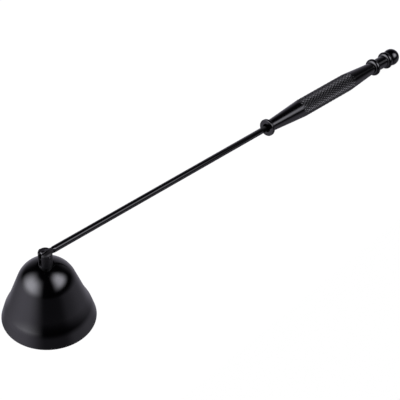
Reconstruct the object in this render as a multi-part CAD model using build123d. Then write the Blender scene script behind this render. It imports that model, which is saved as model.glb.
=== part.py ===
from build123d import *
from math import acos, asin, atan2, cos, degrees, hypot, radians, sin, sqrt, tan
import os

# A candle snuffer: a pressed bell hinged to a slender rod that carries a turned handle.
# It is modelled as it lies on a table. The bell stands on its mouth, and the rod slopes
# down from the hinge until the ball at the handle's end touches the table.
# Lengths are in millimetres and leans are in degrees. The origin is the centre of the
# bell's mouth, +Z runs up the bell's axis, and the handle points towards +X.

# Bell, pressed from one sheet. Each lean is how far a wall tips in from upright.
mouth_radius = 21.0
bell_height = 31.34
bell_wall = 0.8
skirt_height = 6.0
skirt_lean = 14.0
shoulder_radius = 1.4
shoulder_lean = 36.0
hollow_radius = 16.5
dome_radius = 13.7
crown_pad_radius = 3.6

# Clevis stud, turned in one piece with the threaded shank that passes through the crown
stud_radius = 3.15
stud_bevel = 0.6
pin_rise = 6.06
ear_tip = 1.57
slot_floor_rise = 1.2
shank_radius = 1.5
shank_tail = 0.8

# Washer and thin nut that hold the stud, inside the bell
washer_radius = 3.0
washer_thickness = 0.5
nut_across_flats = 5.5
nut_height = 1.8
nut_bevel_lean = 60.0

# Hinge pin, driven through the ears, with its ends bevelled
pin_radius = 0.8
pin_stand = 0.5
pin_bevel = 0.25

# Rod, with one end pressed flat into a tongue that spreads towards its blunt tip
rod_radius = 1.5
rod_reach = 147.2
tongue_thickness = 1.45
tongue_width = 4.4
tongue_length = 4.0
tongue_tip = 2.6
tongue_corner_radius = 0.8
tongue_taper_length = 4.5
run_out_length = 1.2

# Handle, turned in one piece. Its lengths follow one another from the collar to the ball.
collar_radius = 4.23
collar_width = 1.45
collar_bevel = 0.35
front_root_radius = 2.74
front_cone_length = 25.65
grip_radius = 4.54
grip_length = 35.25
tail_cone_length = 22.95
tail_root_radius = 2.9
bead_radius = 4.42
bead_round_radius = 1.53
bead_spacing = 10.4
neck_radius = 3.1
ball_spacing = 4.95
ball_radius = 4.29
seat_depth = 14.0
recess_radius = 2.2
recess_depth = 0.9

# Clearances, each measured from surface to surface
shank_clearance = 0.1
thread_clearance = 0.05
ear_hole_clearance = 0.01
tongue_hole_clearance = 0.06
tongue_side_clearance = 0.1
bore_clearance = 0.05

# How far a cutting body runs past what it cuts
overrun = 1.0

# Places that follow from the sizes
pin_height = bell_height + pin_rise
collar_end = rod_reach + collar_width
grip_start = collar_end + front_cone_length
grip_end = grip_start + grip_length
front_bead_place = grip_end + tail_cone_length
rear_bead_place = front_bead_place + bead_spacing
ball_place = rear_bead_place + ball_spacing
seat_place = rod_reach + seat_depth
handle_slope = degrees(asin((pin_height - ball_radius) / ball_place))
washer_height = bell_height - bell_wall - washer_thickness
nut_base_height = washer_height - nut_height


def on_circle(centre, radius, lean):
    """Return the point of a circle whose outward direction rises by lean degrees."""
    angle = radians(lean)
    return (centre[0] + radius * cos(angle), centre[1] + radius * sin(angle))


def arc_between(centre, radius, from_lean, to_lean):
    """Return the arc of a circle from one lean to another."""
    return CenterArc(centre, radius, from_lean, to_lean - from_lean)


def tube(outer_radius, bore_radius, height):
    """Return a ring on the ground around the Z axis."""
    ring = Circle(outer_radius) - Circle(bore_radius)
    return extrude(ring, height)


def along_rod(piece):
    """Carry a piece from its own X axis to the sloping rod's axis at the hinge."""
    return Location((0, 0, pin_height), (0, handle_slope, 0)) * piece


def bell_region(inset):
    """Return the half section that the bell's outside fills, drawn in by inset.

    The outline climbs the skirt, rolls over the shoulder, sweeps up a long shallow hollow
    to the cone and closes over the dome to the flat pad on the crown.
    """
    skirt_top = (mouth_radius - skirt_height * tan(radians(skirt_lean)), skirt_height)
    shoulder = on_circle(skirt_top, -shoulder_radius, skirt_lean)
    shoulder_top = on_circle(shoulder, shoulder_radius, shoulder_lean)
    hollow = on_circle(shoulder_top, hollow_radius, shoulder_lean)
    dome = (0, bell_height - sqrt(dome_radius**2 - crown_pad_radius**2))

    # The cone's line touches the hollow's circle and the dome's circle.
    centre_distance = hypot(hollow[0] - dome[0], hollow[1] - dome[1])
    centre_lean = degrees(atan2(hollow[1] - dome[1], hollow[0] - dome[0]))
    cone_lean = centre_lean + degrees(acos((dome_radius + hollow_radius) / centre_distance))

    foot = (mouth_radius - inset / cos(radians(skirt_lean)), 0)
    skirt_end = on_circle(shoulder, shoulder_radius - inset, skirt_lean)
    cone_start = on_circle(hollow, -hollow_radius - inset, cone_lean)
    cone_end = on_circle(dome, dome_radius - inset, cone_lean)
    pad_height = bell_height - inset
    pad_radius = sqrt((dome_radius - inset) ** 2 - (pad_height - dome[1]) ** 2)
    pad_lean = degrees(atan2(pad_height - dome[1], pad_radius))
    outline = Curve() + [
        Line((0, 0), foot),
        Line(foot, skirt_end),
        arc_between(shoulder, shoulder_radius - inset, skirt_lean, shoulder_lean),
        arc_between(hollow, hollow_radius + inset, shoulder_lean + 180, cone_lean + 180),
        Line(cone_start, cone_end),
        arc_between(dome, dome_radius - inset, cone_lean, pad_lean),
        Line((pad_radius, pad_height), (0, pad_height)),
        Line((0, pad_height), (0, 0)),
    ]
    return make_face(outline)


def make_bell():
    """Return the bell: one wall all over, open below, with the stud's hole in the crown."""
    wall_section = Plane.XZ * (bell_region(0) - bell_region(bell_wall))
    shell = revolve(wall_section, Axis.Z)
    hole = Cylinder(shank_radius + shank_clearance, bell_wall + 2 * overrun)
    return shell - Pos(0, 0, bell_height - bell_wall / 2) * hole


def make_clevis_stud():
    """Return the stud: a turned post, slotted for the tongue and drilled for the pin."""
    post_height = pin_rise + ear_tip
    post = extrude(Circle(stud_radius), post_height)
    post = chamfer(post.edges().sort_by(Axis.Z)[-1], stud_bevel)
    slot_width = tongue_thickness + 2 * tongue_side_clearance
    slot_depth = post_height - slot_floor_rise
    slot = Box(2 * (stud_radius + overrun), slot_width, slot_depth + overrun)
    post -= Pos(0, 0, slot_floor_rise + (slot_depth + overrun) / 2) * slot
    pin_hole = Cylinder(pin_radius + ear_hole_clearance, 2 * (stud_radius + overrun))
    post -= Pos(0, 0, pin_rise) * Rot(90, 0, 0) * pin_hole
    shank_length = bell_wall + washer_thickness + nut_height + shank_tail
    shank = extrude(Circle(shank_radius), -shank_length)
    return Pos(0, 0, bell_height) * (post + shank)


def make_crown_washer():
    """Return the plain washer under the crown."""
    washer = tube(washer_radius, shank_radius + shank_clearance, washer_thickness)
    return Pos(0, 0, washer_height) * washer


def make_crown_nut():
    """Return the thin six-sided nut, with the bevel that a nut has on its outer face."""
    bar = RegularPolygon(nut_across_flats / 2, 6, major_radius=False)
    blank = extrude(bar - Circle(shank_radius + thread_clearance), nut_height)
    rise = nut_height + overrun
    face_radius = nut_across_flats / 2
    bevel = Cone(face_radius, face_radius + rise * tan(radians(nut_bevel_lean)), rise)
    return Pos(0, 0, nut_base_height) * (blank & Pos(0, 0, rise / 2) * bevel)


def make_hinge_pin():
    """Return the pin that the tongue turns on, lying along Y."""
    pin = Cylinder(pin_radius, 2 * (stud_radius + pin_stand))
    pin = chamfer(pin.edges().filter_by(GeomType.CIRCLE), pin_bevel)
    return Pos(0, 0, pin_height) * Rot(90, 0, 0) * pin


def tongue_outline():
    """Return the tongue's side view: a blunt tip with round corners, narrowing to the rod."""
    half_width = tongue_width / 2
    half_root = sqrt(rod_radius**2 - (tongue_thickness / 2) ** 2)
    corner_height = half_width - tongue_corner_radius
    corner_place = tongue_corner_radius - tongue_tip
    taper_start = tongue_length - tongue_taper_length
    outline = Curve() + [
        arc_between((corner_place, corner_height), tongue_corner_radius, 90, 180),
        Line((-tongue_tip, corner_height), (-tongue_tip, -corner_height)),
        arc_between((corner_place, -corner_height), tongue_corner_radius, 180, 270),
        Line((corner_place, -half_width), (taper_start, -half_width)),
        Line((taper_start, -half_width), (tongue_length, -half_root)),
        Line((tongue_length, -half_root), (tongue_length, half_root)),
        Line((tongue_length, half_root), (taper_start, half_width)),
        Line((taper_start, half_width), (corner_place, half_width)),
    ]
    return make_face(outline)


def run_out_cutter():
    """Return the wedge that a flat of the tongue takes from the rod where it runs out."""
    half_thickness = tongue_thickness / 2
    spread = (rod_radius - half_thickness) / run_out_length
    front = tongue_length - overrun
    rear = tongue_length + run_out_length + overrun
    rear_width = half_thickness + (rear - tongue_length) * spread
    corners = [
        (front, half_thickness),
        (tongue_length, half_thickness),
        (rear, rear_width),
        (front, rear_width),
    ]
    return extrude(make_face(Polyline(*corners, close=True)), rod_radius + overrun, both=True)


def make_rod():
    """Return the rod: round from the tongue to its seat inside the handle."""
    shaft = extrude(Plane.YZ * Circle(rod_radius), seat_place - tongue_length)
    shaft = Pos(tongue_length, 0, 0) * shaft
    wedge = run_out_cutter()
    shaft -= wedge
    shaft -= mirror(wedge, Plane.XZ)
    tongue = extrude(Plane.XZ * tongue_outline(), tongue_thickness / 2, both=True)
    eye = Cylinder(pin_radius + tongue_hole_clearance, tongue_thickness + 2 * overrun)
    return along_rod(tongue + shaft - Rot(90, 0, 0) * eye)


def collar_outline():
    """Return the collar's edge, from the front face to the cone behind it."""
    crest = collar_radius - collar_bevel
    front = rod_reach + collar_bevel
    rear = collar_end - collar_bevel
    return [
        Line((rod_reach, 0), (rod_reach, crest)),
        Line((rod_reach, crest), (front, collar_radius)),
        Line((front, collar_radius), (rear, collar_radius)),
        Line((rear, collar_radius), (collar_end, crest)),
        Line((collar_end, crest), (collar_end, front_root_radius)),
    ]


def bead_half_span(foot_radius):
    """Return how far a bead reaches each way where it meets a neck of this radius."""
    return sqrt(bead_round_radius**2 - (foot_radius - bead_radius + bead_round_radius) ** 2)


def bead_outline(place, front_radius, rear_radius):
    """Return a half-round bead between the two radii that it rises from."""
    centre = (place, bead_radius - bead_round_radius)
    front = atan2(front_radius - centre[1], -bead_half_span(front_radius))
    rear = atan2(rear_radius - centre[1], bead_half_span(rear_radius))
    return arc_between(centre, bead_round_radius, degrees(front), degrees(rear))


def handle_outline():
    """Return the handle's half section, with the two beads and the ball at its tail."""
    tail_end = front_bead_place - bead_half_span(tail_root_radius)
    neck_start = front_bead_place + bead_half_span(neck_radius)
    neck_end = rear_bead_place - bead_half_span(neck_radius)
    groove_start = rear_bead_place + bead_half_span(neck_radius)
    groove_end = ball_place - sqrt(ball_radius**2 - neck_radius**2)
    ball_lean = degrees(atan2(neck_radius, groove_end - ball_place))
    outline = Curve() + collar_outline() + [
        Line((collar_end, front_root_radius), (grip_start, grip_radius)),
        Line((grip_start, grip_radius), (grip_end, grip_radius)),
        Line((grip_end, grip_radius), (tail_end, tail_root_radius)),
        bead_outline(front_bead_place, tail_root_radius, neck_radius),
        Line((neck_start, neck_radius), (neck_end, neck_radius)),
        bead_outline(rear_bead_place, neck_radius, neck_radius),
        Line((groove_start, neck_radius), (groove_end, neck_radius)),
        arc_between((ball_place, 0), ball_radius, ball_lean, 0),
        Line((ball_place + ball_radius, 0), (rod_reach, 0)),
    ]
    return make_face(outline)


def make_handle():
    """Return the handle, bored for the rod and recessed around it at the collar."""
    body = revolve(handle_outline(), Axis.X)
    bore_radius = rod_radius + bore_clearance
    bore = extrude(Plane.YZ * Circle(bore_radius), seat_place - rod_reach + overrun)
    recess = Cone(bore_radius, recess_radius, recess_depth)
    body -= Pos(rod_reach - overrun, 0, 0) * bore
    body -= Pos(rod_reach + recess_depth / 2, 0, 0) * Rot(0, -90, 0) * recess
    return along_rod(body)


pieces = {
    "bell": make_bell(),
    "clevis_stud": make_clevis_stud(),
    "crown_washer": make_crown_washer(),
    "crown_nut": make_crown_nut(),
    "hinge_pin": make_hinge_pin(),
    "rod": make_rod(),
    "handle": make_handle(),
}

os.makedirs("parts", exist_ok=True)
for name, piece in pieces.items():
    export_step(piece, f"parts/{name}.step")
print(f"hinge pin at height {pin_height:.3f}, handle slope {handle_slope:.3f} degrees")
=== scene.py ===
# %% [markdown]
# # A black candle snuffer
# A candle snuffer puts out a flame by covering it. This one is a small pressed bell, a hinge,
# a long rod and a turned handle with a knurled grip, all finished in black. The solid model
# gives every place and size. Blender is here for the looks, so each piece is made again with
# its soft edges, its pressed and cut detail, and its paint.
#
# Everything stays in the solid model's own frame. The origin is the middle of the bell's
# mouth, +Z runs up the bell and the handle points towards +X.

from math import acos, asin, atan2, cos, degrees, radians, sin, sqrt, tan

import bmesh
import bpy
import numpy as np
from mathutils import Matrix, Vector


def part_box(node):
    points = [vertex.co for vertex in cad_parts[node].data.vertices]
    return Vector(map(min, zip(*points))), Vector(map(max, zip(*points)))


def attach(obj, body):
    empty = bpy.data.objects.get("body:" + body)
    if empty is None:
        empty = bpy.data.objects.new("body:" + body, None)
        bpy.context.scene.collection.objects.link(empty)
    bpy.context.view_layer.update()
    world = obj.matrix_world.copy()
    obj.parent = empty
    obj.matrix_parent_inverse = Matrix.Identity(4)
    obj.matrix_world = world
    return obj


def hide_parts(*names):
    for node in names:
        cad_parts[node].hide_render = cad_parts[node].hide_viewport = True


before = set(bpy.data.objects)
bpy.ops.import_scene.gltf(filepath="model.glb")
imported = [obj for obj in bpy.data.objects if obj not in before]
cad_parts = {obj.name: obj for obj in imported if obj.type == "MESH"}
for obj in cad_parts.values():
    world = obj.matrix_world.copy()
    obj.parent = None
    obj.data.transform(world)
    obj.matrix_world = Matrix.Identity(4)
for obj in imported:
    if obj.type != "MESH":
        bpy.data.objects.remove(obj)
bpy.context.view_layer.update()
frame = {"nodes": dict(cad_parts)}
print("nodes:", ", ".join(frame["nodes"]))

# %% [markdown]
# ## Sizes
# A maker reads lengths in millimetres, and Blender's unit is the metre. The sizes are kept in
# millimetres, as on a drawing, and one number turns them into metres when a mesh is made.
# The other way is to type metres everywhere, and then a misplaced zero is easy to miss. They
# are the solid model's sizes, apart from five of the bell's, which its own cell explains.

# %% Sizes, in millimetres and degrees
MM = 0.001

MOUTH_RADIUS = 21.0
BELL_HEIGHT = 31.34
BELL_WALL = 0.8
SKIRT_HEIGHT = 4.55
SKIRT_LEAN = 15.6
SHOULDER_RADIUS = 14.9
SHOULDER_LEAN = 26.7
HOLLOW_RADIUS = 41.7
DOME_RADIUS = 13.7
CROWN_PAD_RADIUS = 3.6

STUD_RADIUS = 3.15
STUD_BEVEL = 0.6
PIN_RISE = 6.06
EAR_TIP = 1.57
SLOT_FLOOR_RISE = 1.2
SLOT_WIDTH = 1.65
SHANK_RADIUS = 1.5
SHANK_TAIL = 0.8
HOLE_RADIUS = 1.6

WASHER_RADIUS = 3.0
WASHER_THICKNESS = 0.5
NUT_ACROSS_FLATS = 5.5
NUT_HEIGHT = 1.8
NUT_BORE_RADIUS = 1.55

PIN_RADIUS = 0.8
PIN_HALF_LENGTH = 3.65
EAR_HOLE_RADIUS = 0.81
EYE_RADIUS = 0.86

ROD_RADIUS = 1.5
ROD_REACH = 147.2
SEAT_PLACE = 161.2
TONGUE_THICKNESS = 1.45
TONGUE_WIDTH = 4.4
TONGUE_LENGTH = 4.0
TONGUE_TIP = 2.6
TONGUE_CORNER = 0.8
TONGUE_TAPER = 4.5
RUN_OUT_LENGTH = 1.2

COLLAR_RADIUS = 4.23
COLLAR_END = 148.65
FRONT_ROOT_RADIUS = 2.74
GRIP_START = 174.3
GRIP_END = 209.55
GRIP_RADIUS = 4.54
TAIL_ROOT_RADIUS = 2.9
BEAD_PLACES = (232.5, 242.9)
BEAD_RADIUS = 4.42
BEAD_ROUND_RADIUS = 1.53
NECK_RADIUS = 3.1
BALL_PLACE = 247.85
BALL_RADIUS = 4.29
RECESS_RADIUS = 2.2
RECESS_DEPTH = 0.9
BORE_RADIUS = 1.55

PIN_HEIGHT = BELL_HEIGHT + PIN_RISE
SLOPE = degrees(asin((PIN_HEIGHT - BALL_RADIUS) / BALL_PLACE))
WASHER_HEIGHT = BELL_HEIGHT - BELL_WALL - WASHER_THICKNESS
NUT_BASE = WASHER_HEIGHT - NUT_HEIGHT
print(f"the hinge is {PIN_HEIGHT:.2f} mm up, and the rod slopes down by {SLOPE:.2f} degrees")

# %% [markdown]
# ## Camera
# The camera stands where the photographer's did. Its place was found by fitting the outlines
# of the bell, the rod and the handle, all seen in one perspective. It looks down at about
# 42.5 degrees, from 0.8 m away, with a long lens. A long lens keeps the near bell and the far
# handle close to the same scale, as they are in the photograph.

# %% Stand the camera where the photograph was taken
CAMERA_AIM = Vector((100.74, 1.78, 0.0)) * MM
CAMERA_DISTANCE = 808.20 * MM
CAMERA_AZIMUTH = radians(-48.4444)
CAMERA_ELEVATION = radians(42.5215)
CAMERA_ROLL = radians(0.9933)
CAMERA_LENS = 153.74
SENSOR_WIDTH = 36.0
NEAREST_SEEN = 10.0 * MM

side = Vector((cos(CAMERA_AZIMUTH), sin(CAMERA_AZIMUTH), 0))
back = Vector((sin(CAMERA_AZIMUTH) * cos(CAMERA_ELEVATION),
               -cos(CAMERA_AZIMUTH) * cos(CAMERA_ELEVATION), sin(CAMERA_ELEVATION)))
turned = Matrix((side, back.cross(side), back)).transposed().to_4x4()
turned = turned @ Matrix.Rotation(CAMERA_ROLL, 4, "Z")
camera = bpy.data.objects.new("camera", bpy.data.cameras.new("camera"))
camera.data.lens = CAMERA_LENS
camera.data.sensor_width = SENSOR_WIDTH
camera.data.clip_start = NEAREST_SEEN
camera.matrix_world = Matrix.Translation(CAMERA_AIM + CAMERA_DISTANCE * back) @ turned
bpy.context.scene.collection.objects.link(camera)
bpy.context.scene.camera = camera
print("the camera stands at", [round(v, 3) for v in camera.matrix_world.translation])

# %% [markdown]
# ## Node trees written as sums
# Shaders and Geometry Nodes are both node trees, and their arithmetic is easier to read as
# Python. A small class wraps one socket. Adding or multiplying two wrapped sockets adds the
# Math node that does it. A second class holds the tree, and its one method makes every other
# kind of node.

# %% A class for sockets and a class for trees
class Amount:
    """One socket of a node tree, which can be used in sums."""

    def __init__(self, recipe, socket):
        self.recipe = recipe
        self.socket = socket

    def maths(self, operation, *others):
        return self.recipe.maths(operation, self, *others)

    def __add__(self, other):
        return self.maths("ADD", other)

    def __sub__(self, other):
        return self.maths("SUBTRACT", other)

    def __rsub__(self, other):
        return self.recipe.maths("SUBTRACT", other, self)

    def __mul__(self, other):
        return self.maths("MULTIPLY", other)

    def __truediv__(self, other):
        return self.maths("DIVIDE", other)

    __radd__ = __add__
    __rmul__ = __mul__


class Recipe:
    """A node tree that is being written."""

    def __init__(self, tree):
        self.tree = tree

    def node(self, kind, settings=None, inputs=None, output=0):
        """Add a node and return one of its outputs. The settings come before the inputs."""
        node = self.tree.nodes.new(kind)
        for key, value in (settings or {}).items():
            setattr(node, key, value)
        for key, value in (inputs or {}).items():
            self.feed(node.inputs[key], value)
        return Amount(self, node.outputs[output])

    def feed(self, socket, value):
        """Link an amount to a socket, or set the socket to a plain value."""
        if isinstance(value, Amount):
            self.tree.links.new(value.socket, socket)
        else:
            socket.default_value = value

    def maths(self, operation, *terms):
        return self.node("ShaderNodeMath", {"operation": operation}, dict(enumerate(terms)))

    def split(self, vector):
        """Return a vector's three parts."""
        first = self.node("ShaderNodeSeparateXYZ", inputs={0: vector})
        return [Amount(self, socket) for socket in first.socket.node.outputs]

    def ramp(self, value, low, high):
        """Rise softly from nothing at low to one at high."""
        return self.node("ShaderNodeMapRange", {"interpolation_type": "SMOOTHSTEP"},
                         {"Value": value, "From Min": low, "From Max": high})

    def noise(self, place, per_metre, detail=2.0):
        """Return a cloudy amount around a half, with this many lumps to the metre."""
        return self.node("ShaderNodeTexNoise", inputs={"Vector": place, "Scale": per_metre,
                                                       "Detail": detail})

    def mixed(self, amount, first, second):
        """Return a colour between two colours."""
        return self.node("ShaderNodeMix", {"data_type": "RGBA"},
                         {0: amount, 6: first, 7: second}, output=2)


print("sums of sockets are ready")

# %% [markdown]
# ## Black finishes
# The bell, the rod and the handle have a smooth black paint that mirrors the room softly, and
# the stud has a duller one. Black paint shows almost nothing but its reflections, so its
# roughness matters more than its colour, and the shades here are close to nothing. Real
# spray leaves a faint orange peel, slow changes of gloss, and a thin, rubbed look where hands
# and tables touch. Inside the bell it falls dry and dull. An image could carry all this, but
# a procedural recipe has no seams and works at any size. Each finish reads the object's own
# coordinates, which are metres here, so the lumps have their real scale.

# %% One recipe for every black finish
CLOUDS_PER_METRE = 70.0
LUMPS_PER_METRE = 800.0
GRAIN_PER_METRE = 5200.0
WEAR_PER_METRE = 450.0
WEAR_PATCHES = (0.3, 0.7)
CLOUD_SHADE = 1.5
CLOUD_GLOSS = 0.04
GRAIN_GLOSS = 0.02
LUMP_SHARE = 0.8
DRY_SHADE = (0.02, 0.0195, 0.021, 1)
DRY_ROUGHNESS = 0.45


def black_finish(name, shade, rubbed_shade, roughness, rubbed_roughness, glance, peel, rubbed,
                 dry=None, metallic=0.0, pattern_turn=0.0, pattern_start=(0, 0, 0)):
    """Return a black finish. rubbed(recipe, place) says where hands have worn it.

    glance is the refractive index, which sets how strongly the paint mirrors the room, and
    peel is the height of the orange peel in millimetres. dry names a mesh attribute that is
    one where the spray fell dry and dull. pattern_turn and pattern_start lay the pattern along
    a piece that slopes, from its own zero.
    """
    material = bpy.data.materials.new(name)
    material.use_nodes = True
    shader = material.node_tree.nodes["Principled BSDF"]
    shader.inputs["IOR"].default_value = glance
    shader.inputs["Metallic"].default_value = metallic
    recipe = Recipe(material.node_tree)
    here = recipe.node("ShaderNodeTexCoord", output="Object")
    place = recipe.node("ShaderNodeMapping", {"vector_type": "TEXTURE"},
                        {"Vector": here, "Location": pattern_start,
                         "Rotation": (0, pattern_turn, 0)})
    clouds = recipe.noise(place, CLOUDS_PER_METRE, detail=3.0)
    lumps = recipe.noise(place, LUMPS_PER_METRE)
    grain = recipe.noise(place, GRAIN_PER_METRE, detail=4.0)
    patches = recipe.ramp(recipe.noise(place, WEAR_PER_METRE, detail=5.0), *WEAR_PATCHES)
    worn = rubbed(recipe, place) * patches
    shade_here = recipe.mixed(clouds, shade, [part * CLOUD_SHADE for part in shade[:3]] + [1])
    if dry:
        dull = recipe.node("ShaderNodeAttribute", {"attribute_name": dry}, output="Fac")
        shade_here = recipe.mixed(dull, shade_here, DRY_SHADE)
        roughness = dull * (DRY_ROUGHNESS - roughness) + roughness
    recipe.feed(shader.inputs["Base Color"], recipe.mixed(worn, shade_here, rubbed_shade))
    matt = roughness - (CLOUD_GLOSS + GRAIN_GLOSS) / 2 + clouds * CLOUD_GLOSS + grain * GRAIN_GLOSS
    recipe.feed(shader.inputs["Roughness"], matt + worn * (rubbed_roughness - roughness))
    skin_height = lumps * LUMP_SHARE + grain * (1 - LUMP_SHARE)
    recipe.feed(shader.inputs["Normal"],
                recipe.node("ShaderNodeBump", inputs={"Strength": 1.0, "Distance": peel * MM,
                                                      "Height": skin_height}))
    return material


# %% Where the small pieces are rubbed
RIM_RUB = 0.7
RIM_RUB_HEIGHTS = (0.15, 0.9)
EAR_RUB = 0.5
EAR_RUB_RISE = 0.9
PIN_RUB_MARGIN = 0.02
TONGUE_RUB = 0.6
TONGUE_RUB_PLACES = (2.0, 4.5)


def between(recipe, value, low, high):
    """Rise from nothing to one between two lengths in millimetres."""
    return recipe.ramp(value, low * MM, high * MM)


def nowhere(recipe, place):
    """Nothing rubs the fixings inside the bell."""
    return recipe.maths("MULTIPLY", 0.0, 0.0)


def rim_edge(recipe, place):
    """The rim rubs on the table."""
    return (1 - between(recipe, recipe.split(place)[2], *RIM_RUB_HEIGHTS)) * RIM_RUB


def ear_edges(recipe, place):
    """The tips of the ears knock against things."""
    return between(recipe, recipe.split(place)[2], PIN_HEIGHT + EAR_RUB_RISE,
                   PIN_HEIGHT + EAR_TIP) * EAR_RUB


def pin_ends(recipe, place):
    """The ends of the pin stand proud and lose their black first."""
    return between(recipe, recipe.split(place)[1].maths("ABSOLUTE"),
                   STUD_RADIUS + PIN_RUB_MARGIN, PIN_HALF_LENGTH - PIN_RUB_MARGIN)


def tongue_flats(recipe, place):
    """The tongue slides between the ears."""
    return (1 - between(recipe, recipe.split(place)[0], *TONGUE_RUB_PLACES)) * TONGUE_RUB


print(f"the rim is rubbed up to {RIM_RUB_HEIGHTS[1]} mm, and the tongue to {TONGUE_RUB_PLACES[1]} mm")

# %% Where the handle is rubbed
GRIP_RUB_FADE = (1.0, 3.0)
TIP_RUB_DEPTHS = (0.2, 0.01)
GROOVE_RUB = 0.5
BEAD_RUB = 0.2
BEAD_RUB_DEPTH = 0.1
BEAD_RUB_FADE = (4.0, 8.0)


def knurl_tips(recipe, place):
    """The tips of the diamonds are polished by fingers, and so are the crests of the beads."""
    along, across, up = recipe.split(place)
    radius = (across * across + up * up).maths("SQRT")
    near, far = GRIP_RUB_FADE
    grip = (between(recipe, along, GRIP_START - far, GRIP_START - near)
            * (1 - between(recipe, along, GRIP_END + near, GRIP_END + far)))
    tips = between(recipe, radius, *[GRIP_RADIUS - depth for depth in TIP_RUB_DEPTHS])
    tips = tips * (1 - GROOVE_RUB) + GROOVE_RUB
    crests = between(recipe, radius, BEAD_RADIUS - BEAD_RUB_DEPTH, BEAD_RADIUS)
    behind = between(recipe, along, *[GRIP_END + reach for reach in BEAD_RUB_FADE])
    return (grip * tips).maths("MAXIMUM", crests * behind * BEAD_RUB)


print(f"the grip's rubbed look fades out {GRIP_RUB_FADE[1]} mm past each end")


# %% Mix the finishes
ROD_PATTERN = {"pattern_turn": radians(SLOPE), "pattern_start": (0, 0, PIN_HEIGHT * MM)}

bell_paint = black_finish(
    "bell_satin_black", shade=(0.0002, 0.00017, 0.00025, 1), rubbed_shade=(0.003, 0.0028, 0.003, 1),
    roughness=0.12, rubbed_roughness=0.2, glance=1.5, peel=0.002, rubbed=rim_edge, dry="inside")
stud_paint = black_finish(
    "stud_black", shade=(0.0006, 0.0005, 0.0008, 1), rubbed_shade=(0.012, 0.011, 0.012, 1),
    roughness=0.5, rubbed_roughness=0.4, glance=1.42, peel=0.002, rubbed=ear_edges)
fixing_black = black_finish(
    "blackened_steel", shade=(0.035, 0.034, 0.036, 1), rubbed_shade=(0.09, 0.09, 0.092, 1),
    roughness=0.38, rubbed_roughness=0.3, glance=1.5, peel=0.002, rubbed=nowhere, metallic=0.8)
pin_black = black_finish(
    "pin_black", shade=(0.02, 0.019, 0.021, 1), rubbed_shade=(0.1, 0.097, 0.1, 1),
    roughness=0.4, rubbed_roughness=0.35, glance=1.5, peel=0.001, rubbed=pin_ends, metallic=0.9)
rod_paint = black_finish(
    "rod_gloss_black", shade=(0.0004, 0.00035, 0.0005, 1), rubbed_shade=(0.008, 0.007, 0.008, 1),
    roughness=0.12, rubbed_roughness=0.2, glance=1.5, peel=0.001, rubbed=tongue_flats,
    **ROD_PATTERN)
handle_paint = black_finish(
    "handle_gloss_black", shade=(0.0004, 0.00035, 0.0005, 1),
    rubbed_shade=(0.003, 0.0028, 0.003, 1), roughness=0.15, rubbed_roughness=0.5, glance=1.5,
    peel=0.001, rubbed=knurl_tips, **ROD_PATTERN)
print("finishes:", ", ".join(material.name for material in bpy.data.materials))

# %% [markdown]
# ## Meshes from rings
# Almost every piece here is turned, drawn or pressed, so it can be described by rings of
# points that follow one another along an axis. Joining each ring to the next gives the skin.
# A screw modifier could turn a profile too. Rings also make the six-sided nut and the pressed
# tongue, because a ring doesn't have to be round.

# %% Join rings of points into a closed skin
def skin(rings, loop=False):
    """Return points and faces for an array of rings. With loop, the last joins the first."""
    count, around = rings.shape[:2]
    index = np.arange(count * around).reshape(count, around)
    if loop:
        index = np.vstack([index, index[:1]])
    beside = np.roll(index, -1, axis=1)
    faces = np.stack([index[:-1], beside[:-1], beside[1:], index[1:]], axis=-1).reshape(-1, 4)
    return rings.reshape(-1, 3), faces.tolist()


def turned_rings(outline, segments):
    """Return rings around the X axis for an outline of places along it and radii."""
    angles = np.linspace(0, 2 * np.pi, segments, endpoint=False)
    outline = np.array(outline, float)
    along = np.repeat(outline[:, :1], segments, axis=1)
    radii = outline[:, 1:]
    return np.stack([along, radii * np.cos(angles), radii * np.sin(angles)], axis=-1)


print("two rings of four points have", len(skin(turned_rings([(0, 1), (1, 1)], 4))[1]), "faces")

# %% Rounded outlines
def arc(centre, radius, start, end, steps):
    """Return points on a circle between two leans, in degrees."""
    leans = np.radians(np.linspace(start, end, steps + 1))
    return [(centre[0] + radius * cos(lean), centre[1] + radius * sin(lean)) for lean in leans]


def rounded(corners, steps=4, guard=0.4):
    """Return an outline with a round at each corner that has a third number, its radius.

    A guard point before and after each round keeps the shading of the flats next to it flat.
    """
    points = [corners[0][:2]]
    for before, corner, after in zip(corners, corners[1:], corners[2:]):
        if len(corner) == 2:
            points.append(corner)
            continue
        here = Vector(corner[:2])
        arrive = (here - Vector(before[:2])).normalized()
        leave = (Vector(after[:2]) - here).normalized()
        half_turn = arrive.angle(leave) / 2
        reach = corner[2] * tan(half_turn)
        centre = here + (leave - arrive).normalized() * corner[2] / cos(half_turn)
        first = (here - arrive * reach - centre).normalized()
        last = (here + leave * reach - centre).normalized()
        points.append(here - arrive * reach * (1 + guard))
        for step in range(steps + 1):
            points.append(centre + corner[2] * first.slerp(last, step / steps))
        points.append(here + leave * reach * (1 + guard))
    points.append(corners[-1][:2])
    return [tuple(point) for point in points]


print("a rounded corner has", len(rounded([(0, 0), (1, 0, 0.1), (1, 1)])) - 2, "points")

# %% Place the points and make a piece
ROD_FRAME = Matrix.Translation((0, 0, PIN_HEIGHT)) @ Matrix.Rotation(radians(SLOPE), 4, "Y")
BELL_FRAME = Matrix.Rotation(radians(-90), 4, "Y")
PIN_FRAME = Matrix.Translation((0, 0, PIN_HEIGHT)) @ Matrix.Rotation(radians(90), 4, "Z")
SHARP_ANGLE = radians(38)
SAME_POINT = 1e-8
NO_LENGTH = 1e-9


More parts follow.
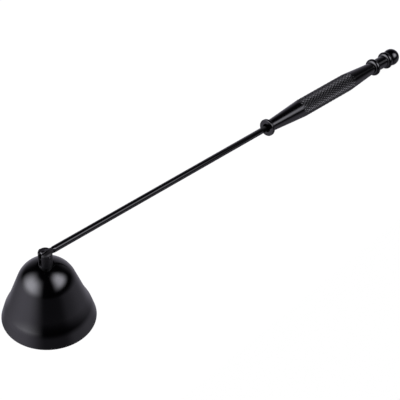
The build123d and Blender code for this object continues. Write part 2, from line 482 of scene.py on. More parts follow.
def finish_mesh(mesh):
    """Merge doubles, point the faces outwards and mark the sharp edges."""
    work = bmesh.new()
    work.from_mesh(mesh)
    bmesh.ops.remove_doubles(work, verts=work.verts, dist=SAME_POINT)
    bmesh.ops.dissolve_degenerate(work, edges=work.edges, dist=NO_LENGTH)
    bmesh.ops.recalc_face_normals(work, faces=work.faces)
    for face in work.faces:
        face.smooth = True
    for edge in work.edges:
        edge.smooth = len(edge.link_faces) == 2 and edge.calc_face_angle() < SHARP_ANGLE
    work.to_mesh(mesh)
    work.free()


def carry(piece, place):
    """Move a piece's own points by a placing that is given in millimetres."""
    piece.data.transform(Matrix.Scale(MM, 4) @ place @ Matrix.Scale(1 / MM, 4))


def make_piece(name, points, faces, place):
    """Return a new object from points in millimetres, carried to their place."""
    mesh = bpy.data.meshes.new(name)
    mesh.from_pydata([tuple(point) for point in points], [], faces)
    mesh.transform(Matrix.Scale(MM, 4) @ place)
    finish_mesh(mesh)
    piece = bpy.data.objects.new(name, mesh)
    bpy.context.scene.collection.objects.link(piece)
    return piece


def compare_with_solid(piece, node):
    """Print how far the piece's box is from the solid's, and how many faces it has."""
    points = np.array([vertex.co for vertex in piece.data.vertices])
    low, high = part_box(node)
    away = np.abs(np.array([points.min(0) - low, points.max(0) - high])).max() / MM
    loose_edges = sum(1 for edge in piece.data.edges if edge.is_loose)
    print(f"{piece.name}: {len(piece.data.polygons)} faces, corner within {away:.2f} mm"
          f" of {node}, {loose_edges} loose edges")


print(f"an edge is sharp above {degrees(SHARP_ANGLE):.0f} degrees")

# %% [markdown]
# ## The bell
# The bell is pressed from one sheet of steel. From the rim up it has a short skirt, a soft
# roll at the shoulder, a long shallow hollow that runs on into the cone, and a dome with a
# small flat pad for the stud. It could be cut from a solid and hollowed, but a pressed wall is
# the same thickness all over. So both walls are drawn from the same circles, and the inner
# one is the outer one moved in by the sheet's thickness.
#
# The solid model's shoulder is tighter. Here the skirt, the roll and the hollow have softer
# sizes of their own, because gloss shows a curve more exactly than an outline does, and these
# spread the reflections as the photograph has them. The wall moves by less than a quarter of
# a millimetre, and the mouth and the height stay the same.

# %% Work out the bell's section
def spot(centre, radius, lean):
    """Return the point of a circle whose outward direction rises by lean degrees."""
    return Vector((centre[0] + radius * cos(radians(lean)),
                   centre[1] + radius * sin(radians(lean))))


def lean_of(vector):
    return degrees(atan2(vector[1], vector[0]))


skirt_top = (MOUTH_RADIUS - SKIRT_HEIGHT * tan(radians(SKIRT_LEAN)), SKIRT_HEIGHT)
shoulder_centre = spot(skirt_top, -SHOULDER_RADIUS, SKIRT_LEAN)
shoulder_top = spot(shoulder_centre, SHOULDER_RADIUS, SHOULDER_LEAN)
hollow_centre = spot(shoulder_top, HOLLOW_RADIUS, SHOULDER_LEAN)
dome_centre = Vector((0, BELL_HEIGHT - sqrt(DOME_RADIUS ** 2 - CROWN_PAD_RADIUS ** 2)))
PAD_LEAN = lean_of(Vector((CROWN_PAD_RADIUS, BELL_HEIGHT)) - dome_centre)

# The cone's line touches the hollow's circle and the dome's circle.
span = hollow_centre - dome_centre
CONE_LEAN = lean_of(span) + degrees(acos((DOME_RADIUS + HOLLOW_RADIUS) / span.length))
print(f"the hollow turns the wall from {SHOULDER_LEAN:.1f} to {CONE_LEAN:.2f} degrees")


# %% Turn the bell
SHOULDER_STEPS = 8
HOLLOW_STEPS = 16
DOME_STEPS = 28
BELL_SEGMENTS = 192
RIM_ROUND = 0.16
RIM_STEPS = 5
PAD_ROUND = 0.6


def bell_wall_points(inset):
    """Return the outside of the bell from the skirt to the crown pad, moved in by inset."""
    return (arc(shoulder_centre, SHOULDER_RADIUS - inset, SKIRT_LEAN, SHOULDER_LEAN, SHOULDER_STEPS)
            + arc(hollow_centre, -HOLLOW_RADIUS - inset, SHOULDER_LEAN, CONE_LEAN, HOLLOW_STEPS)
            + arc(dome_centre, DOME_RADIUS - inset, CONE_LEAN, PAD_LEAN, DOME_STEPS))


inner_foot = MOUTH_RADIUS - BELL_WALL / cos(radians(SKIRT_LEAN))
outside = bell_wall_points(0)
inside = bell_wall_points(BELL_WALL)
rim = rounded([outside[0], (MOUTH_RADIUS, 0, RIM_ROUND), (inner_foot, 0, RIM_ROUND), inside[0]],
              RIM_STEPS)
crown_top = [(CROWN_PAD_RADIUS - PAD_ROUND, BELL_HEIGHT), (HOLE_RADIUS, BELL_HEIGHT)]
crown_under = [(HOLE_RADIUS, BELL_HEIGHT - BELL_WALL), (inside[-1][0], BELL_HEIGHT - BELL_WALL)]
section = outside[::-1] + rim[1:-1] + inside + crown_under[::-1] + crown_top[::-1]
turning = [(height, radius) for radius, height in section]
bell = make_piece("bell_shell", *skin(turned_rings(turning, BELL_SEGMENTS), loop=True), BELL_FRAME)
compare_with_solid(bell, "bell")

# %% [markdown]
# ### The dry inside
# A spray gun can't reach well into a bell, so the paint falls dry in there. A second material
# on the inner faces would meet the first in a hard line. Here each point of the mesh carries
# a number instead, one inside and nothing outside, and the finish blends by it.

# %% Mark the inside, where the spray falls dry
DRY_START = 0.5

spots = np.array([vertex.co for vertex in bell.data.vertices]) / MM
spot_heights = spots[:, 2]
outer_radii = np.interp(spot_heights, [point[1] for point in outside],
                        [point[0] for point in outside])
is_inside = ((np.hypot(spots[:, 0], spots[:, 1]) < outer_radii - BELL_WALL / 2)
             & (spot_heights < BELL_HEIGHT - BELL_WALL / 2) & (spot_heights > DRY_START))
mark = bell.data.attributes.new("inside", "FLOAT", "POINT")
mark.data.foreach_set("value", is_inside.astype(np.float32))
print(int(is_inside.sum()), "of", len(spots), "points are inside")

# %% [markdown]
# ## The clevis stud
# The stud is a turned post with a threaded shank below it. A slot for the rod's flat tongue is
# milled across its top, which leaves two ears, and a hole for the pin is drilled through both.
# It could be drawn face by face. Here it is made the way a machinist makes it: a turned blank,
# then one cut for the slot and one for the hole, and last a small bevel on every edge.

# %% Turn the post and cut it with Boolean modifiers
STUD_SEGMENTS = 96
DRILL_SEGMENTS = 48
CUT_REACH = 10.0
EDGE_BREAK = 0.07


def apply_modifiers(piece):
    """Make the modified shape the piece's own plain mesh."""
    graph = bpy.context.evaluated_depsgraph_get()
    mesh = bpy.data.meshes.new_from_object(piece.evaluated_get(graph))
    piece.modifiers.clear()
    piece.data = mesh
    finish_mesh(mesh)


def cut_away(piece, cutters):
    """Take each cutter's volume out of the piece, and remove the cutters."""
    for cutter in cutters:
        modifier = piece.modifiers.new("cut", "BOOLEAN")
        modifier.object = cutter
        modifier.operation = "DIFFERENCE"
        modifier.solver = "EXACT"
    apply_modifiers(piece)
    for cutter in cutters:
        bpy.data.objects.remove(cutter)


def break_edges(piece, width):
    """Give every sharp edge a small bevel that catches the light."""
    bevel = piece.modifiers.new("broken edges", "BEVEL")
    bevel.limit_method = "ANGLE"
    bevel.angle_limit = SHARP_ANGLE
    bevel.width = width * MM
    bevel.segments = 2
    apply_modifiers(piece)


def drill(name, radius, place):
    """Return a round cutter along X in the frame given."""
    outline = [(-CUT_REACH, 0), (-CUT_REACH, radius), (CUT_REACH, radius), (CUT_REACH, 0)]
    return make_piece(name, *skin(turned_rings(outline, DRILL_SEGMENTS)), place)


def slab(name, low, high):
    """Return a box-shaped cutter between two corners."""
    (x0, y0, z0), (x1, y1, z1) = low, high
    rings = [[(x, y0, z0), (x, y1, z0), (x, y1, z1), (x, y0, z1)] for x in (x0, x1)]
    points, faces = skin(np.array(rings))
    return make_piece(name, points, faces + [[0, 1, 2, 3], [4, 5, 6, 7]], Matrix.Identity(4))


ear_top = PIN_HEIGHT + EAR_TIP
post = [(BELL_HEIGHT, 0), (BELL_HEIGHT, STUD_RADIUS), (ear_top - STUD_BEVEL, STUD_RADIUS),
        (ear_top, STUD_RADIUS - STUD_BEVEL), (ear_top, 0)]
stud = make_piece("slotted_stud", *skin(turned_rings(post, STUD_SEGMENTS)), BELL_FRAME)
slot_floor = BELL_HEIGHT + SLOT_FLOOR_RISE
slot = slab("slot", (-CUT_REACH, -SLOT_WIDTH / 2, slot_floor),
            (CUT_REACH, SLOT_WIDTH / 2, ear_top + CUT_REACH))
cut_away(stud, [slot, drill("pin_drill", EAR_HOLE_RADIUS, PIN_FRAME)])
break_edges(stud, EDGE_BREAK)
compare_with_solid(stud, "clevis_stud")

# %% [markdown]
# ## Grooves from Geometry Nodes
# The grip is knurled: two hardened wheels press two families of slanting grooves into it, and
# what stands between the grooves is a field of small diamonds. A screw thread is the same
# thing with one family and one groove. Each could be modelled diamond by diamond, or faked
# with a bump map. One Geometry Nodes tree does both properly. It takes a finely divided round
# piece and pushes its points in wherever a groove passes, so the outline shows the teeth too.
#
# A groove is found from two numbers: how many starts lie between a point and the piece's zero
# line, and how many periods it lies along the axis. Halfway between whole numbers, their sum
# is on one family's grooves, and their difference is on the other's. A wheel's teeth press to
# one radius only, so where the piece tapers in from its barrel, the grooves run out.

# %% Build the tree that cuts grooves
RAGGED_LUMPS = 900.0
GROOVE_POWER = 3.0


def groove_tree():
    """Return a node group that presses crossing helical grooves into a piece along X."""
    group = bpy.data.node_groups.new("helical grooves", "GeometryNodeTree")
    face = group.interface
    face.new_socket("Piece", in_out="INPUT", socket_type="NodeSocketGeometry")
    for label, start_value in (("Starts", 1.0), ("Period", 0.001), ("Depth", 0.0001),
                               ("Groove width", 0.9), ("Crossed", 1.0),
                               ("Barrel radius", 0.001), ("From", 0.0), ("To", 1.0),
                               ("Fade", 0.001), ("Raggedness", 0.0)):
        socket = face.new_socket(label, in_out="INPUT", socket_type="NodeSocketFloat")
        socket.default_value = start_value
    face.new_socket("Finish", in_out="INPUT", socket_type="NodeSocketMaterial")
    face.new_socket("Grooved piece", in_out="OUTPUT", socket_type="NodeSocketGeometry")
    recipe = Recipe(group)
    given = group.nodes.new("NodeGroupInput")
    take = {socket.name: Amount(recipe, socket) for socket in given.outputs if socket.name}

    place = recipe.node("GeometryNodeInputPosition")
    along, across, up = recipe.split(place)
    radius = (across * across + up * up).maths("SQRT")
    starts = up.maths("ARCTAN2", across) / (2 * np.pi) * take["Starts"]
    periods = along / take["Period"]

    def groove(phase):
        """One in the middle of a groove, rounding off to nothing at its edges."""
        off_middle = (phase.maths("FRACT") - 0.5).maths("ABSOLUTE") * 2
        rise = (1 - off_middle / take["Groove width"]).maths("MAXIMUM", 0.0)
        return rise.maths("POWER", GROOVE_POWER)

    crossing = groove(starts - periods) * take["Crossed"]
    pressed = groove(starts + periods).maths("MAXIMUM", crossing) * take["Depth"]
    depth = (pressed - (take["Barrel radius"] - radius)).maths("MAXIMUM", 0.0)
    shift = (recipe.noise(place, RAGGED_LUMPS) - 0.5) * take["Raggedness"]
    inside = (recipe.ramp(along - take["From"] + shift, 0.0, take["Fade"])
              * recipe.ramp(take["To"] - along + shift, 0.0, take["Fade"]))
    push = depth * inside * -1 / radius
    offset = recipe.node("ShaderNodeCombineXYZ", inputs={1: across * push, 2: up * push})
    moved = recipe.node("GeometryNodeSetPosition",
                        inputs={"Geometry": take["Piece"], "Offset": offset})
    real = recipe.node("GeometryNodeRealizeInstances", inputs={0: moved})
    done = recipe.node("GeometryNodeSetMaterial",
                       inputs={"Geometry": real, "Material": take["Finish"]})
    group.links.new(done.socket, group.nodes.new("NodeGroupOutput").inputs[0])
    return group


grooves = groove_tree()
print("the groove tree has", len(grooves.nodes), "nodes")


# %% Run the tree on a piece and keep the plain mesh
def press_grooves(piece, **sizes):
    """Press grooves into a piece that lies along X, and leave it a plain mesh."""
    modifier = piece.modifiers.new("grooves", "NODES")
    modifier.node_group = grooves
    for socket in grooves.interface.items_tree:
        if socket.in_out == "INPUT" and socket.name in sizes:
            modifier[socket.identifier] = sizes[socket.name]
    apply_modifiers(piece)


# %% [markdown]
# ### The shank's thread
# The shank is threaded up to the washer, and the nut runs on it. It shows only from below and
# could stay plain, but the tree is ready, and a thread needs only one start and one family.

# %% Cut the thread on the stud's shank
THREAD_PITCH = 0.5
THREAD_DEPTH = 0.3
THREAD_STEPS = 12
THREAD_SEGMENTS = 48
THREAD_FADE = 0.3
SHANK_CHAMFER = 0.25

shank_end = NUT_BASE - SHANK_TAIL
shank_top = BELL_HEIGHT + EDGE_BREAK
steps = round((shank_top - shank_end) / THREAD_PITCH * THREAD_STEPS)
blank = [(shank_end, 0), (shank_end, SHANK_RADIUS - SHANK_CHAMFER)]
blank += [(along, SHANK_RADIUS)
          for along in np.linspace(shank_end + SHANK_CHAMFER, shank_top, steps + 1)]
blank += [(shank_top, 0)]
shank = make_piece("threaded_shank", *skin(turned_rings(blank, THREAD_SEGMENTS)),
                   Matrix.Identity(4))
press_grooves(shank, **{"Starts": 1.0, "Period": THREAD_PITCH * MM, "Crossed": 0.0,
                        "Groove width": 1.0, "Depth": THREAD_DEPTH * MM,
                        "Barrel radius": SHANK_RADIUS * MM,
                        "From": shank_end * MM, "To": WASHER_HEIGHT * MM,
                        "Fade": THREAD_FADE * MM, "Finish": fixing_black})
carry(shank, BELL_FRAME)
print("the shank has", len(shank.data.polygons), "faces")

# %% [markdown]
# ## The washer and the thin nut
# These two hold the stud from inside the bell, so they show only from below. The nut is a
# six-sided bar with its outer corners turned away. Its rings are bored round and six-sided
# outside: at each angle, the flats are as far out as the across-flats size says, and the
# bevel starts lower where the corner reaches further out.

# %% Make the washer and the nut
EDGE_ROUND = 0.08
EDGE_STEPS = 3
BORE_CHAMFER = 0.2
NUT_BEVEL_LEAN = 60.0
NUT_SEGMENTS = 96

washer_outline = rounded([(WASHER_HEIGHT, HOLE_RADIUS), (WASHER_HEIGHT, WASHER_RADIUS, EDGE_ROUND),
                          (WASHER_HEIGHT + WASHER_THICKNESS, WASHER_RADIUS, EDGE_ROUND),
                          (WASHER_HEIGHT + WASHER_THICKNESS, HOLE_RADIUS)], EDGE_STEPS)
washer = make_piece("crown_plain_washer",
                    *skin(turned_rings(washer_outline, NUT_SEGMENTS), loop=True), BELL_FRAME)
compare_with_solid(washer, "crown_washer")


def nut_rings():
    """Return rings along X for a thin nut with its lower corners turned away."""
    angles = np.linspace(0, 2 * np.pi, NUT_SEGMENTS, endpoint=False)
    off_flat = (angles + np.pi / 6) % (np.pi / 3) - np.pi / 6
    flats = NUT_ACROSS_FLATS / 2 / np.cos(off_flat)
    face = np.full_like(angles, NUT_ACROSS_FLATS / 2)
    bore = np.full_like(angles, NUT_BORE_RADIUS)
    mouth = bore + BORE_CHAMFER
    shoulder = NUT_BASE + (flats - face) / tan(radians(NUT_BEVEL_LEAN))
    top = np.full_like(angles, NUT_BASE + NUT_HEIGHT)
    base = np.full_like(angles, NUT_BASE)
    rows = [(top, mouth), (top, flats), (shoulder, flats), (base, face), (base, mouth),
            (base + BORE_CHAMFER, bore), (top - BORE_CHAMFER, bore)]
    return np.array([np.stack([height, radius * np.cos(angles), radius * np.sin(angles)], -1)
                     for height, radius in rows])


nut = make_piece("crown_thin_nut", *skin(nut_rings(), loop=True), BELL_FRAME)
break_edges(nut, EDGE_BREAK)
compare_with_solid(nut, "crown_nut")

# %% [markdown]
# ## The hinge pin
# The pin is a plain rod with its ends lightly domed, as a hammer leaves them. It stands half
# a millimetre proud of each ear, and its near end catches the light in the photograph.

# %% Turn the pin
PIN_DOME = 0.12
PIN_CORNER = 0.22
PIN_STEPS = 5
PIN_SEGMENTS = 48

half_pin = rounded([(PIN_HALF_LENGTH, 0), (PIN_HALF_LENGTH - PIN_DOME, PIN_RADIUS, PIN_CORNER),
                    (0, PIN_RADIUS)], PIN_STEPS)
pin_outline = half_pin + [(-along, radius) for along, radius in half_pin[-2::-1]]
pin = make_piece("domed_hinge_pin", *skin(turned_rings(pin_outline, PIN_SEGMENTS)), PIN_FRAME)
compare_with_solid(pin, "hinge_pin")

# %% [markdown]
# ## The rod and its pressed tongue
# The rod is straight round wire. Its end was squeezed flat in a press, so the flat tongue
# spreads wider than the wire towards its blunt tip, and a short slope leads each flat back
# out to the round. Each ring here is a rectangle with round corners. Where the corner radius
# is as large as the half sides, the ring is a circle, so one kind of ring makes the tongue,
# the slope and the wire.

# %% Draw the rod from rings
CORNER_STEPS = 12
TONGUE_EDGE = 0.3
TIP_LEANS = range(0, 91, 6)
SHAFT_RINGS = [8.0, 80.0]
ROD_END_BEVEL = 0.5
ROD_END_DROP = 0.2


def rounded_ring(along, half_height, half_thickness, corner):
    """Return a ring across the rod: a rectangle with round corners."""
    corner = min(corner, half_height, half_thickness)
    points = []
    for quarter, (up, over) in enumerate([(1, 1), (-1, 1), (-1, -1), (1, -1)]):
        centre = (over * (half_thickness - corner), up * (half_height - corner))
        points += [(along, y, z) for y, z in
                   arc(centre, corner, 90 - 90 * quarter, -90 * quarter, CORNER_STEPS)]
    return points


def tongue_ring(along):
    """Return the ring of the tongue or the rod at a place along the axis."""
    half_width = TONGUE_WIDTH / 2
    half_thickness = TONGUE_THICKNESS / 2
    half_root = sqrt(ROD_RADIUS ** 2 - half_thickness ** 2)
    narrowing = min(max((along - TONGUE_LENGTH + TONGUE_TAPER) / TONGUE_TAPER, 0), 1)
    half_height = half_width + (half_root - half_width) * narrowing
    from_tip = along + TONGUE_TIP
    if from_tip < TONGUE_CORNER:
        half_height += sqrt(TONGUE_CORNER ** 2 - (TONGUE_CORNER - from_tip) ** 2) - TONGUE_CORNER
    if from_tip < TONGUE_EDGE:
        half_thickness += sqrt(TONGUE_EDGE ** 2 - (TONGUE_EDGE - from_tip) ** 2) - TONGUE_EDGE
    part = min(max((along - TONGUE_LENGTH) / RUN_OUT_LENGTH, 0), 1)
    return rounded_ring(along, half_height + (ROD_RADIUS - half_height) * part,
                        half_thickness + (ROD_RADIUS - half_thickness) * part,
                        TONGUE_EDGE + (ROD_RADIUS - TONGUE_EDGE) * part)


def round_the_bend(place, reach=0.12):
    """Return places close before and after a bend, which keep its shading narrow."""
    return [place - reach, place, place + reach]


tip_places = [-TONGUE_TIP + TONGUE_CORNER * (1 - cos(radians(lean))) for lean in TIP_LEANS]
bends = [TONGUE_LENGTH - TONGUE_TAPER, TONGUE_LENGTH, TONGUE_LENGTH + RUN_OUT_LENGTH]
bend_places = [place for bend in bends for place in round_the_bend(bend)]
places = tip_places + bend_places + SHAFT_RINGS + [SEAT_PLACE - ROD_END_BEVEL]
rod_rings = [tongue_ring(place) for place in places]
end_radius = ROD_RADIUS - ROD_END_DROP
rod_rings += [rounded_ring(SEAT_PLACE, end_radius, end_radius, ROD_RADIUS),
              rounded_ring(SEAT_PLACE, 0, 0, 0)]
rod = make_piece("rod_with_tongue", *skin(np.array(rod_rings)), ROD_FRAME)
cut_away(rod, [drill("tongue_drill", EYE_RADIUS, PIN_FRAME)])
compare_with_solid(rod, "rod")

# %% [markdown]
# ## The turned handle
# One bar is turned all over: a thin collar with a countersunk mouth for the rod, a long cone,
# the straight grip, a second cone, two beads and a ball. Then the grip is knurled. The
# outline is the drawing of the turner's cut. Along the grip its points are an eighth of a
# knurl period apart, and there are eight points around for each start, so every groove runs
# exactly through points of the mesh and its bottom is clean. Each of those faces is also
# split into four about its middle, so that both families of grooves have edges to follow.
#
# The knurl's period and the number of its starts were measured on the photograph: about
# 2.7 mm along the axis, and about 21 around.

# %% Draw the handle's outline
KNURL_STARTS = 21
KNURL_PERIOD = 2.7
KNURL_DEPTH = 0.26
KNURL_STEPS = 8
KNURL_RUN_OUT = 3.4
KNURL_FADE = 0.6
KNURL_RAGGEDNESS = 0.7
COLLAR_ROUND = 0.32
ROOT_FILLET = 0.35
RECESS_ROUND = 0.08
BORE_ROUND = 0.05
MOUTH_STEPS = 6
BEAD_STEPS = 22
BALL_STEPS = 36


def cone_radius(along, start, start_radius, end, end_radius):
    part = (along - start) / (end - start)
    return start_radius + (end_radius - start_radius) * part


def half_span(radius):
    """Return how far a bead reaches each way where it meets a neck of this radius."""
    return sqrt(BEAD_ROUND_RADIUS ** 2 - (radius - BEAD_RADIUS + BEAD_ROUND_RADIUS) ** 2)


def bead(place, front_radius, rear_radius):
    """Return a half-round bead between the two necks that it rises from."""
    centre = (place, BEAD_RADIUS - BEAD_ROUND_RADIUS)
    front = degrees(atan2(front_radius - centre[1], -half_span(front_radius)))
    rear = degrees(atan2(rear_radius - centre[1], half_span(rear_radius)))
    return arc(centre, BEAD_ROUND_RADIUS, front, rear, BEAD_STEPS)


mouth = rounded([(SEAT_PLACE, BORE_RADIUS), (ROD_REACH + RECESS_DEPTH, BORE_RADIUS, BORE_ROUND),
                 (ROD_REACH, RECESS_RADIUS, RECESS_ROUND),
                 (ROD_REACH, COLLAR_RADIUS, COLLAR_ROUND),
                 (COLLAR_END, COLLAR_RADIUS, COLLAR_ROUND),
                 (COLLAR_END, FRONT_ROOT_RADIUS, ROOT_FILLET), (GRIP_START, GRIP_RADIUS)],
                MOUTH_STEPS)
knurl_step = KNURL_PERIOD / KNURL_STEPS
first_step = int((GRIP_START - KNURL_RUN_OUT) / knurl_step)
last_step = int((GRIP_END + KNURL_RUN_OUT) / knurl_step) + 1
grip = []
for step in range(first_step, last_step + 1):
    along = step * knurl_step
    front = cone_radius(along, COLLAR_END, FRONT_ROOT_RADIUS, GRIP_START, GRIP_RADIUS)
    rear = cone_radius(along, GRIP_END, GRIP_RADIUS, BEAD_PLACES[0], TAIL_ROOT_RADIUS)
    grip.append((along, min(front, GRIP_RADIUS, rear)))
groove_lean = degrees(acos(-sqrt(BALL_RADIUS ** 2 - NECK_RADIUS ** 2) / BALL_RADIUS))
tail = (bead(BEAD_PLACES[0], TAIL_ROOT_RADIUS, NECK_RADIUS)
        + bead(BEAD_PLACES[1], NECK_RADIUS, NECK_RADIUS)
        + arc((BALL_PLACE, 0), BALL_RADIUS, groove_lean, 0, BALL_STEPS))
handle_outline = [(SEAT_PLACE, 0)] + mouth[:-1] + grip + tail
print(f"the outline has {len(handle_outline)} points, {len(grip)} of them along the knurl")


# %% Turn the handle and knurl its grip
POKE_MARGIN = 0.01


def poke_between(piece, low, high):
    """Split each four-sided face between two places along X into four, about its middle."""
    work = bmesh.new()
    work.from_mesh(piece.data)
    faces = [face for face in work.faces
             if all(low < vertex.co.x < high for vertex in face.verts)]
    bmesh.ops.poke(work, faces=faces)
    for edge in work.edges:
        edge.smooth = True
    work.to_mesh(piece.data)
    work.free()


handle = make_piece("turned_handle", *skin(turned_rings(handle_outline,
                                                        KNURL_STARTS * KNURL_STEPS)),
                    Matrix.Identity(4))
poke_between(handle, (grip[0][0] - POKE_MARGIN) * MM, (grip[-1][0] + POKE_MARGIN) * MM)
press_grooves(handle, **{"Starts": float(KNURL_STARTS), "Period": KNURL_PERIOD * MM,
                         "Depth": KNURL_DEPTH * MM, "Groove width": 1.0, "Crossed": 1.0,
                         "Barrel radius": GRIP_RADIUS * MM,
                         "From": (GRIP_START - KNURL_RUN_OUT) * MM,
                         "To": (GRIP_END + KNURL_RUN_OUT) * MM,
                         "Fade": KNURL_FADE * MM, "Raggedness": KNURL_RAGGEDNESS * MM,
                         "Finish": handle_paint})
carry(handle, ROD_FRAME)
compare_with_solid(handle, "handle")

# %% [markdown]
# ## Put the pieces on the two moving bodies
# The hinge has two sides. The rod and handle are one, and the bell with its stud, washer, nut
# and pin is the other. Each piece takes the place of its solid, so it has to ride on the same
# body, or it would be left behind when the bell swings.

# %% Give each piece its finish, its solid and its body
seats = [(bell, "bell", "bell_head", "bell_paint", bell_paint),
         (stud, "clevis_stud", "bell_head", "stud_paint", stud_paint),
         (shank, None, "bell_head", "stud_paint", fixing_black),
         (washer, "crown_washer", "bell_head", "fixing_steel", fixing_black),
         (nut, "crown_nut", "bell_head", "fixing_steel", fixing_black),
         (pin, "hinge_pin", "bell_head", "pin_steel", pin_black),
         (rod, "rod", "handle_and_rod", "rod_paint", rod_paint),
         (handle, "handle", "handle_and_rod", "handle_paint", handle_paint)]
for piece, node, body, slot_name, finish in seats:
    piece.data.materials.clear()
    piece.data.materials.append(finish)
    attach(piece, body)
    if node:
        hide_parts(node)
        frame["nodes"][node].data.materials.clear()
        frame["nodes"][node].data.materials.append(finish)
    print(f"{piece.name} rides on {body} with {finish.name}")

# %% [markdown]
# ## Floor, room and lights
# The photograph has a plain white ground. A black, smooth thing shows the room around it, so
# the room is most of the picture. The bell shows it like a round mirror: a large soft lamp on
# the left, a smaller and higher one on the right, a pale ground that is palest on the left,
# and darkness everywhere else. Area lamps could stand for the two lamps, but their edges are
# hard, and these glints fade softly on every side. So the world's shader paints the room by
# bearing and height, with soft edges that are numbers here. They were found by asking, for
# each place on the bell, which direction it mirrors and how bright it looks there.

# %% Lay the floor
FLOOR_LOW = (-0.075, -0.075)
FLOOR_HIGH = (0.36, 0.2)
PAPER_GLOW = 0.97
FIBRES_PER_METRE = 900.0
PAPER_SHADES = ((0.03, 0.03, 0.03, 1), (0.06, 0.06, 0.06, 1))

floor_mesh = bpy.data.meshes.new("floor")
floor_mesh.from_pydata([(FLOOR_LOW[0], FLOOR_LOW[1], 0), (FLOOR_HIGH[0], FLOOR_LOW[1], 0),
                        (FLOOR_HIGH[0], FLOOR_HIGH[1], 0), (FLOOR_LOW[0], FLOOR_HIGH[1], 0)],
                       [], [(0, 1, 2, 3)])
floor = bpy.data.objects.new("floor", floor_mesh)
# Reflections leave the floor out, because the room's painted ground stands for it.
floor.visible_glossy = False
bpy.context.scene.collection.objects.link(floor)
paper = bpy.data.materials.new("white_paper")
paper.use_nodes = True
paper_shader = paper.node_tree.nodes["Principled BSDF"]
paper_shader.inputs["Specular IOR Level"].default_value = 0.0
paper_shader.inputs["Emission Strength"].default_value = PAPER_GLOW
paper_recipe = Recipe(paper.node_tree)
fibre = paper_recipe.noise(paper_recipe.node("ShaderNodeTexCoord", output="Object"),
                           FIBRES_PER_METRE)
paper_recipe.feed(paper_shader.inputs["Base Color"], paper_recipe.mixed(fibre, *PAPER_SHADES))
paper_shader.inputs["Emission Color"].default_value = (1, 1, 1, 1)
floor_mesh.materials.append(paper)
print("the floor is laid, and the room's painted ground is what the bell mirrors")

# %% Find the bearing and the height of each direction
world = bpy.data.worlds.new("studio")
bpy.context.scene.world = world
world.use_nodes = True
world.node_tree.nodes.clear()
room = Recipe(world.node_tree)
east, north, rise = room.split(room.node("ShaderNodeTexCoord", output="Generated"))
level = Vector((back.x, back.y, 0)).normalized()
bearing = (east * side.x + north * side.y).maths("ARCTAN2", east * level.x + north * level.y)
bearing = bearing * degrees(1)
height = rise.maths("ARCSINE") * degrees(1)
leftward = bearing * -1
round_behind = bearing.maths("ABSOLUTE")
depth_below = height * -1
print("bearing is nothing towards the camera and grows to its right, and height grows upwards")

# %% Paint the ground
# Each pair is two angles in degrees: a ramp is nothing at the first and whole at the second.
ROOM_DIM = 0.005
GROUND_FRONT = 0.57
GROUND_LEFT = 1.14
GROUND_RIGHT = 0.86
GROUND_BEHIND = 0.42
GROUND_SINKS = (-52.0, 6.0)
LEFT_SINKS = (-14.5, 5.0)
LEFT_STARTS = (4.0, 56.0)
LEFT_ENDS = (65.0, 133.0)
LEFT_LOSS = 0.88
RIGHT_STARTS = (37.0, 64.0)
RIGHT_ENDS = (86.0, 149.0)
BEHIND_STARTS = (118.0, 165.0)
BEHIND_SINKS = (2.0, 42.0)
SHADE_STARTS = (-1.0, 48.0)
SHADE_LOSS = 0.81

near_ground = 1 - room.ramp(height, *GROUND_SINKS)
left_ground = (room.ramp(leftward, *LEFT_STARTS) * (1 - room.ramp(leftward, *LEFT_ENDS) * LEFT_LOSS)
               * (1 - room.ramp(height, *LEFT_SINKS)) * GROUND_LEFT)
right_ground = (room.ramp(bearing, *RIGHT_STARTS) * (1 - room.ramp(bearing, *RIGHT_ENDS))
                * near_ground * GROUND_RIGHT)
behind = (room.ramp(round_behind, *BEHIND_STARTS) * (1 - room.ramp(height, *BEHIND_SINKS))
          * GROUND_BEHIND)
underneath = 1 - room.ramp(depth_below, *SHADE_STARTS) * SHADE_LOSS
ground = (near_ground * GROUND_FRONT + left_ground + right_ground + behind) * underneath
print(f"the ground is palest on the left, at {GROUND_FRONT + GROUND_LEFT:.2f}")

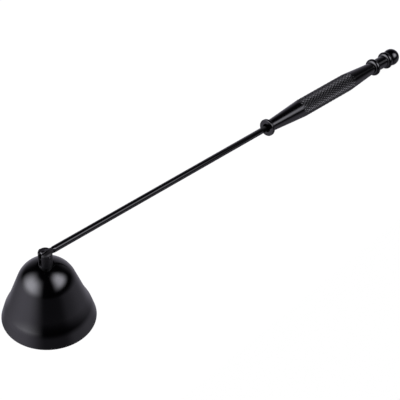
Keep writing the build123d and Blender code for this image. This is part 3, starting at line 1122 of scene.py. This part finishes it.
# %% Hang the lamps
LEFT_LAMP = {"radiance": 6.5, "left_edge": (-120.0, -68.5), "right_edge": (-7.0, -61.0),
             "bottom_edge": (-13.7, 21.0), "top_edge": (67.5, 28.5)}
RIGHT_LAMP = {"radiance": 6.0, "left_edge": (27.7, 73.0), "right_edge": (122.0, 82.0),
              "bottom_edge": (10.0, 37.0), "top_edge": (78.0, 46.0)}
LAMP_TINT = (1.01, 1.0, 1.1, 1)
GROUND_TINT = (1.04, 1.0, 1.18, 1)


def lamp(radiance, left_edge, right_edge, bottom_edge, top_edge):
    """Return a soft lamp's light. Each edge is a pair of degrees, from dark to full."""
    light = room.ramp(bearing, *left_edge) * (1 - room.ramp(bearing, *right_edge[::-1]))
    return (light * room.ramp(height, *bottom_edge) * (1 - room.ramp(height, *top_edge[::-1]))
            * radiance)


both_lamps = lamp(**LEFT_LAMP) + lamp(**RIGHT_LAMP)
lamps = room.node("ShaderNodeBackground", inputs={"Color": LAMP_TINT, "Strength": both_lamps})
pale = room.node("ShaderNodeBackground", inputs={"Color": GROUND_TINT,
                                                 "Strength": ground + ROOM_DIM})
mirrored = room.node("ShaderNodeAddShader", inputs={0: lamps, 1: pale})
print("the room has two lamps and a pale ground")

# %% Show white paper behind the object, and the room in its reflections
seen = room.node("ShaderNodeLightPath", output="Is Camera Ray")
paper_white = room.node("ShaderNodeBackground", inputs={"Color": (1, 1, 1, 1), "Strength": 1.0})
either = room.node("ShaderNodeMixShader", inputs={0: seen, 1: mirrored, 2: paper_white})
room.tree.links.new(either.socket, room.tree.nodes.new("ShaderNodeOutputWorld").inputs["Surface"])
print("the room's tree has", len(world.node_tree.nodes), "nodes")

# %% Light the paper
PAPER_LAMP_HEIGHT = 0.9
PAPER_LAMP_WIDTH = 0.6
PAPER_LAMP_POWER = 4.0

paper_lamp = bpy.data.objects.new("paper_lamp", bpy.data.lights.new("paper_lamp", "AREA"))
paper_lamp.data.size = PAPER_LAMP_WIDTH
paper_lamp.data.energy = PAPER_LAMP_POWER
paper_lamp.location = (CAMERA_AIM.x, CAMERA_AIM.y, PAPER_LAMP_HEIGHT)
paper_lamp.visible_glossy = False
bpy.context.scene.collection.objects.link(paper_lamp)
bpy.context.scene.view_settings.view_transform = "Standard"
print("a soft lamp hangs over the paper")
